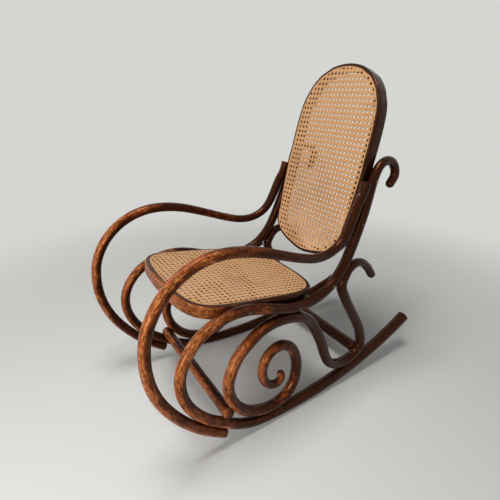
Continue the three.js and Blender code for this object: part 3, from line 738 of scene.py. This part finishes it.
def form_frame(name, outline, profile, place, seed):
    """Sweep a section round an outline by extruding the outline from point to point."""
    points, inward = outline
    count = len(points)
    bm = bmesh.new()
    grain = bm.verts.layers.float_vector.new("grain")
    station = bm.verts.layers.int.new("station")
    circle = bmesh.ops.create_circle(bm, cap_ends=False, segments=count, radius=1)
    verts = sorted(circle["verts"], key=lambda vert: math.atan2(vert.co.x, -vert.co.y) % math.tau)
    for k, vert in enumerate(verts):
        vert[station] = k
    first = edges = bm.edges[:]
    total = sum((b - a).length for a, b in zip(points, points[1:] + points[:1]))
    for i, (inset, height) in enumerate(profile):
        if i:
            verts, edges = extrude_ring(bm, edges)
        for vert in verts:
            k = vert[station]
            spot = points[k] + inward[k] * inset
            vert.co = place @ Vector((spot.x, spot.y, height))
            run = min(k, count - k) * total / count
            vert[grain] = (inset, height, seed + run)
    bmesh.ops.bridge_loops(bm, edges=first + edges)
    return make_piece(name, bm, FRAME_SHARP)


def crossings(points, start, along):
    """Where a straight strand enters and leaves a closed line, as distances from start."""
    across = Vector((-along.y, along.x, 0))
    found = []
    for a, b in zip(points, points[1:] + points[:1]):
        p, q = (a - start).dot(across), (b - start).dot(across)
        if (p > 0) != (q > 0):
            spot = a.lerp(b, p / (p - q))
            found.append((spot - start).dot(along))
    return (min(found), max(found)) if len(found) >= 2 else None


def lay_strand(bm, start, along, reach, width, knots, pitch):
    """Lay one flat strand: a strip whose rows rise and fall at knots along each pitch."""
    low, high = reach
    rows = [(low, STRAIGHT_BETWEEN)]
    for k in range(math.floor(low / pitch), math.ceil(high / pitch) + 1):
        for share, lift in knots:
            at = (k + share) * pitch
            if low + STRAND_MARGIN < at < high - STRAND_MARGIN:
                rows.append((at, lift))
    rows.append((high, STRAIGHT_BETWEEN))
    steps = len(rows) - 1
    strip = bmesh.ops.create_grid(bm, x_segments=2, y_segments=steps, size=1)["verts"]
    across = Vector((-along.y, along.x, 0)) * width / 2
    for vert in strip:
        at, lift = rows[round((vert.co.y + 1) / 2 * steps)]
        spot = start + along * at + across * vert.co.x
        vert.co = (spot.x, spot.y, lift - STRAND_CROWN * vert.co.x ** 2)


def weave_cane(name, outline, inset, place, origin):
    """Weave pairs of strands both ways, then single strands on both diagonals."""
    cane = bpy.context.scene.chair_cane
    points, inward = outline
    field = [point + way * inset for point, way in zip(points, inward)]
    pitch = cane.pitch
    bm = bmesh.new()
    low_y = min(point.y for point in field)
    high_y = max(point.y for point in field)
    shift = round((low_y + high_y) / 2 / pitch) * pitch
    middle = Vector((origin[0] * MM, origin[1] * MM + shift, 0))
    count = math.ceil((high_y - low_y) / pitch) + 2
    pair = cane.strand * PAIR_SPREAD
    near = pair / pitch
    ahead, across = Vector((0, 1, 0)), Vector((1, 0, 0))
    slope, counter = Vector((1, 1, 0)).normalized(), Vector((1, -1, 0)).normalized()
    over = [(-near, STRAIGHT_OVER), (near, STRAIGHT_UNDER), (0.5, STRAIGHT_BETWEEN)]
    under = [(-near, STRAIGHT_UNDER), (near, STRAIGHT_OVER), (0.5, STRAIGHT_BETWEEN)]
    above = [(0, DIAGONAL_OVER), (0.5, DIAGONAL_UNDER)]
    below = [(0, DIAGONAL_UNDER), (0.5, DIAGONAL_OVER)]
    lines = [
        (ahead, across, -pair, cane.strand, under, 1),
        (ahead, across, pair, cane.strand, over, 1),
        (across, ahead, -pair, cane.strand, over, 1),
        (across, ahead, pair, cane.strand, under, 1),
        (slope, across, pitch / 2, cane.diagonal, above, math.sqrt(2)),
        (counter, across, pitch / 2, cane.diagonal, below, math.sqrt(2)),
    ]
    for along, aside, offset, width, knots, stretch in lines:
        for k in range(-2 * count, 2 * count + 1):
            start = middle + aside * (k * pitch + offset)
            reach = crossings(field, start, along)
            if reach and reach[1] - reach[0] > pitch / 2:
                lay_strand(bm, start, along, reach, width, knots, pitch * stretch)
    bmesh.ops.solidify(bm, geom=bm.faces[:], thickness=cane.thickness)
    bmesh.ops.recalc_face_normals(bm, faces=bm.faces[:])
    bm.normal_update()
    # Top or underside of each strand; the cane's material paints the walls between near black as
    # painted shade
    face = bm.verts.layers.float.new("face")
    for vert in bm.verts:
        vert[face] = math.copysign(1.0, vert.normal.z)
    bmesh.ops.transform(bm, matrix=place, verts=bm.verts[:])
    return make_piece(name, bm, CANE_SHARP)


def bind_edge(name, outline, inset, place):
    """The flat binder strand that covers the ends of the weave."""
    width, rise = BINDER_WIDTH, BINDER_RISE
    profile = [
        (inset, BINDER_BED), (inset, rise * 0.6), (inset + width * 0.3, rise),
        (inset + width * 0.7, rise), (inset + width, rise * 0.6), (inset + width, BINDER_BED),
    ]
    binder = form_frame(name, outline, profile, place, 0.0)
    face = binder.data.attributes.new("face", "FLOAT", "POINT")
    for item in face.data:
        item.value = 1.0
    return binder


# Operators


class CHAIR_OT_bend_arms(bpy.types.Operator):
    """Bend the two arms, from the posts round to the foot of the front loops"""

    bl_idname = "chair.bend_arms"
    bl_label = "Bend arms"

    def execute(self, context):
        bend_pair("arm", ARM, ARM_RADII, ("sawn", "sawn"))
        return {"FINISHED"}


class CHAIR_OT_bend_side_rods(bpy.types.Operator):
    """Bend the side rods: hook, post, seat rail and front loop in one length"""

    bl_idname = "chair.bend_side_rods"
    bl_label = "Bend side rods"

    def execute(self, context):
        bend_pair("side_rod", SIDE_ROD, SIDE_ROD_RADII, ("dome", "sawn"))
        return {"FINISHED"}


class CHAIR_OT_bend_scrolls(bpy.types.Operator):
    """Bend the scrolls: rear hook, S curve, great loop and spiral in one length"""

    bl_idname = "chair.bend_scrolls"
    bl_label = "Bend scrolls"

    def execute(self, context):
        bend_pair("scroll", SCROLL, SCROLL_RADII, ("dome", "dome"))
        return {"FINISHED"}


class CHAIR_OT_bend_runners(bpy.types.Operator):
    """Bend the runners on one long arc from the joint with the side rods"""

    bl_idname = "chair.bend_runners"
    bl_label = "Bend runners"

    def execute(self, context):
        drawing = list(RUNNER_FRONT)
        knots = range(RUNNER_KNOTS_FROM, RUNNER_TAIL, RUNNER_KNOTS_APART)
        for u in (*knots, RUNNER_TAIL):
            drawing.append((u, self.radius(u) + self.rise(u)))
        bend_pair("runner", drawing, self.radii(drawing), ("sawn", "sawn"))
        return {"FINISHED"}

    def rise(self, u):
        """How far the long arc, worn flat where it rests, has risen from the floor."""
        rise = RUNNER_ARC - math.sqrt(RUNNER_ARC ** 2 - (u - RUNNER_CONTACT) ** 2)
        return max(rise, FLOOR_WORN)

    def radius(self, u):
        """The rod swells from the joint to the tail."""
        start, tail = RUNNER_RADII
        begin = RUNNER_FRONT[-1][0]
        share = max(0.0, (u - begin) / (RUNNER_TAIL - begin))
        return start + (tail - start) * math.sqrt(share)

    def radii(self, drawing):
        """Pairs of how far along the drawing each knot lies and the radius there."""
        reached = [0.0]
        for a, b in zip(drawing, drawing[1:]):
            reached.append(reached[-1] + math.dist(a, b))
        return [(way / reached[-1], self.radius(u)) for way, (u, _) in zip(reached, drawing)]


class CHAIR_OT_turn_stretchers(bpy.types.Operator):
    """Turn the straight pieces: both stretchers, the seat stays and the back spacers"""

    bl_idname = "chair.turn_stretchers"
    bl_label = "Turn stretchers"

    def execute(self, context):
        for node, (half, u, z, radius, bevel) in STRETCHERS.items():
            self.turn(node, (-half, u, z), (half, u, z), radius, bevel)
        for hand, side in SIDES.items():
            for label, (start, end, radius, bevel) in SHORT_PIECES.items():
                start, end = ((side * x, u, z) for x, u, z in (start, end))
                self.turn(f"{label}_{hand}", start, end, radius, bevel)
        return {"FINISHED"}

    def turn(self, node, start, end, radius, bevel):
        """Turn a straight round piece with a bevel at both ends."""
        start, end = (Vector((x, u + MIDDLE, z - FLOOR_DROP)) * MM for x, u, z in (start, end))
        nose = bevel * MM / (end - start).length
        low, soft = radius - bevel, radius - bevel * 0.35
        stops = [(0, low), (nose / 2, soft)]
        stops += [(nose + (1 - 2 * nose) * k / TURNED_RINGS, radius)
                  for k in range(TURNED_RINGS + 1)]
        stops += [(1 - nose / 2, soft), (1, low)]
        line = [start.lerp(end, share) for share, _ in stops]
        radii = [(i / (len(stops) - 1), size) for i, (_, size) in enumerate(stops)]
        along = (end - start).normalized()
        normal = Vector((0, 0, 1)) if abs(along.z) < 0.5 else Vector((1, 0, 0))
        piece = bend_rod(f"turned_{node}", line, radii, ("plain", "plain"), radius, normal)
        dress(piece, wood("stretcher"), "bentwood", node)


class CHAIR_OT_form_seat_frame(bpy.types.Operator):
    """Form the seat frame, rebated for its cane"""

    bl_idname = "chair.form_seat_frame"
    bl_label = "Form seat frame"

    def execute(self, context):
        sizes = context.scene.chair_frames
        outline = frame_outline(SEAT_SHARES, SEAT_HALF_WIDTH, SEAT_LENGTH, sizes.stations)
        profile = rim_profile(*sizes.seat_rim, sizes.edge_radius, sizes.rebate, sizes.ledge)
        rim = form_frame("formed_seat_ring", outline, profile, SEAT_PLACE, SEAT_GRAIN_START)
        dress(rim, wood("seat_ring"), "bentwood", "seat_ring")
        return {"FINISHED"}


class CHAIR_OT_form_back_frame(bpy.types.Operator):
    """Form the tall back frame, rebated for its cane"""

    bl_idname = "chair.form_back_frame"
    bl_label = "Form back frame"

    def execute(self, context):
        sizes = context.scene.chair_frames
        outline = frame_outline(BACK_SHARES, BACK_HALF_WIDTH, BACK_LENGTH, sizes.stations)
        edge = sizes.edge_radius * 0.7
        profile = rim_profile(*sizes.back_rim, edge, sizes.rebate, sizes.ledge)
        rim = form_frame("formed_back_ring", outline, profile, BACK_PLACE, BACK_GRAIN_START)
        dress(rim, wood("back_ring"), "bentwood", "back_ring")
        return {"FINISHED"}


class CHAIR_OT_weave_panels(bpy.types.Operator):
    """Weave the cane of the seat and the back, and bind its edges"""

    bl_idname = "chair.weave_panels"
    bl_label = "Weave cane"

    def execute(self, context):
        frames = context.scene.chair_frames
        lap = frames.rebate[0]
        seat = (SEAT_SHARES, SEAT_HALF_WIDTH, SEAT_LENGTH)
        back = (BACK_SHARES, BACK_HALF_WIDTH, BACK_LENGTH)
        cane = painted("split_cane", paint_cane)
        for label, drawing, rim, place in (
            ("seat", seat, frames.seat_rim, SEAT_PLACE),
            ("back", back, frames.back_rim, BACK_PLACE),
        ):
            outline = frame_outline(*drawing, frames.stations)
            inset = rim[0] - lap
            panel = weave_cane(
                f"woven_{label}_cane", outline, inset + CANE_GAP, place, CANE_ORIGINS[label])
            dress(panel, cane, "cane", f"{label}_cane")
            binder = bind_edge(f"{label}_cane_binder", outline, inset - BINDER_LAP, place)
            dress(binder, cane, "cane")
        return {"FINISHED"}


class CHAIR_OT_finish_fixings(bpy.types.Operator):
    """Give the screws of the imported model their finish"""

    bl_idname = "chair.finish_fixings"
    bl_label = "Finish fixings"

    def execute(self, context):
        for name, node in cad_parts.items():
            if name.startswith("screw"):
                for slot in node.material_slots:
                    slot.material = painted("screw_steel", paint_steel)
        return {"FINISHED"}


class CHAIR_OT_set_stage(bpy.types.Operator):
    """Lay the pale floor, hang the lamps and stand the camera"""

    bl_idname = "chair.set_stage"
    bl_label = "Set stage"

    def execute(self, context):
        stage = context.scene.chair_stage
        context.scene.view_settings.view_transform = "Standard"
        self.stand_camera(context, stage)
        self.lay_floor(context)
        self.hang_lamps(context)
        self.light_surround(context, stage)
        return {"FINISHED"}

    def stand_camera(self, context, stage):
        data = bpy.data.cameras.new("camera")
        data.lens = stage.lens
        data.sensor_width = SENSOR_WIDTH
        camera = bpy.data.objects.new("camera", data)
        context.scene.collection.objects.link(camera)
        camera.location = stage.station
        camera.rotation_euler = (math.pi / 2 - stage.elevation, 0, stage.azimuth)
        context.scene.camera = camera

    def lay_floor(self, context):
        bm = bmesh.new()
        bmesh.ops.create_circle(bm, cap_ends=True, segments=96, radius=FLOOR_RADIUS)
        mesh = bpy.data.meshes.new("floor")
        bm.to_mesh(mesh)
        bm.free()
        floor = bpy.data.objects.new("floor", mesh)
        context.scene.collection.objects.link(floor)
        mesh.materials.append(painted("pale_floor", paint_floor))

    def hang_lamps(self, context):
        for name, place, size, power in LAMPS:
            data = bpy.data.lights.new(name, "AREA")
            data.shape = "SQUARE"
            data.size = size
            data.energy = power
            lamp = bpy.data.objects.new(name, data)
            context.scene.collection.objects.link(lamp)
            lamp.location = place
            aim = Vector(LAMP_AIM) - Vector(place)
            lamp.rotation_euler = aim.to_track_quat("-Z", "Y").to_euler()

    def light_surround(self, context, stage):
        """A dim light on the chair from all round, seen as bright behind it."""
        world = context.scene.world or bpy.data.worlds.new("surround")
        context.scene.world = world
        sky = Shader(world)
        dim, bright = (
            sky.node("ShaderNodeBackground", {}, {"Color": (*stage.pale, 1), "Strength": power})
            for power in (SURROUND_LIGHT, SURROUND_SEEN))
        seen = sky.ray("Camera") | sky.ray("Glossy") | sky.ray("Transmission")
        lit = sky.node("ShaderNodeMixShader", {}, {0: seen, 1: dim, 2: bright})
        sky.show("ShaderNodeOutputWorld", lit)


class CHAIR_PT_sidebar(bpy.types.Panel):
    """The chair's settings and steps"""

    bl_idname = "CHAIR_PT_sidebar"
    bl_label = "Rocking Chair"
    bl_space_type = "VIEW_3D"
    bl_region_type = "UI"
    bl_category = "Rocking Chair"

    def draw(self, context):
        for attribute, group in SETTINGS.items():
            box = self.layout.box()
            values = getattr(context.scene, attribute)
            for key in group.__annotations__:
                box.prop(values, key)
        for operator in OPERATORS:
            self.layout.operator(operator.bl_idname)


OPERATORS = (
    CHAIR_OT_set_stage,
    CHAIR_OT_bend_arms,
    CHAIR_OT_bend_side_rods,
    CHAIR_OT_bend_scrolls,
    CHAIR_OT_bend_runners,
    CHAIR_OT_turn_stretchers,
    CHAIR_OT_form_seat_frame,
    CHAIR_OT_form_back_frame,
    CHAIR_OT_weave_panels,
    CHAIR_OT_finish_fixings,
)


def register():
    for group in SETTINGS.values():
        bpy.utils.register_class(group)
    for attribute, group in SETTINGS.items():
        setattr(bpy.types.Scene, attribute, bpy.props.PointerProperty(type=group))
    for operator in OPERATORS:
        bpy.utils.register_class(operator)
    bpy.utils.register_class(CHAIR_PT_sidebar)


def unregister():
    bpy.utils.unregister_class(CHAIR_PT_sidebar)
    for operator in reversed(OPERATORS):
        bpy.utils.unregister_class(operator)
    for attribute in SETTINGS:
        delattr(bpy.types.Scene, attribute)
    for group in reversed(SETTINGS.values()):
        bpy.utils.unregister_class(group)


def main():
    register()
    for operator in OPERATORS:
        group, action = operator.bl_idname.split(".")
        getattr(getattr(bpy.ops, group), action)()


if __name__ == "__main__":
    main()
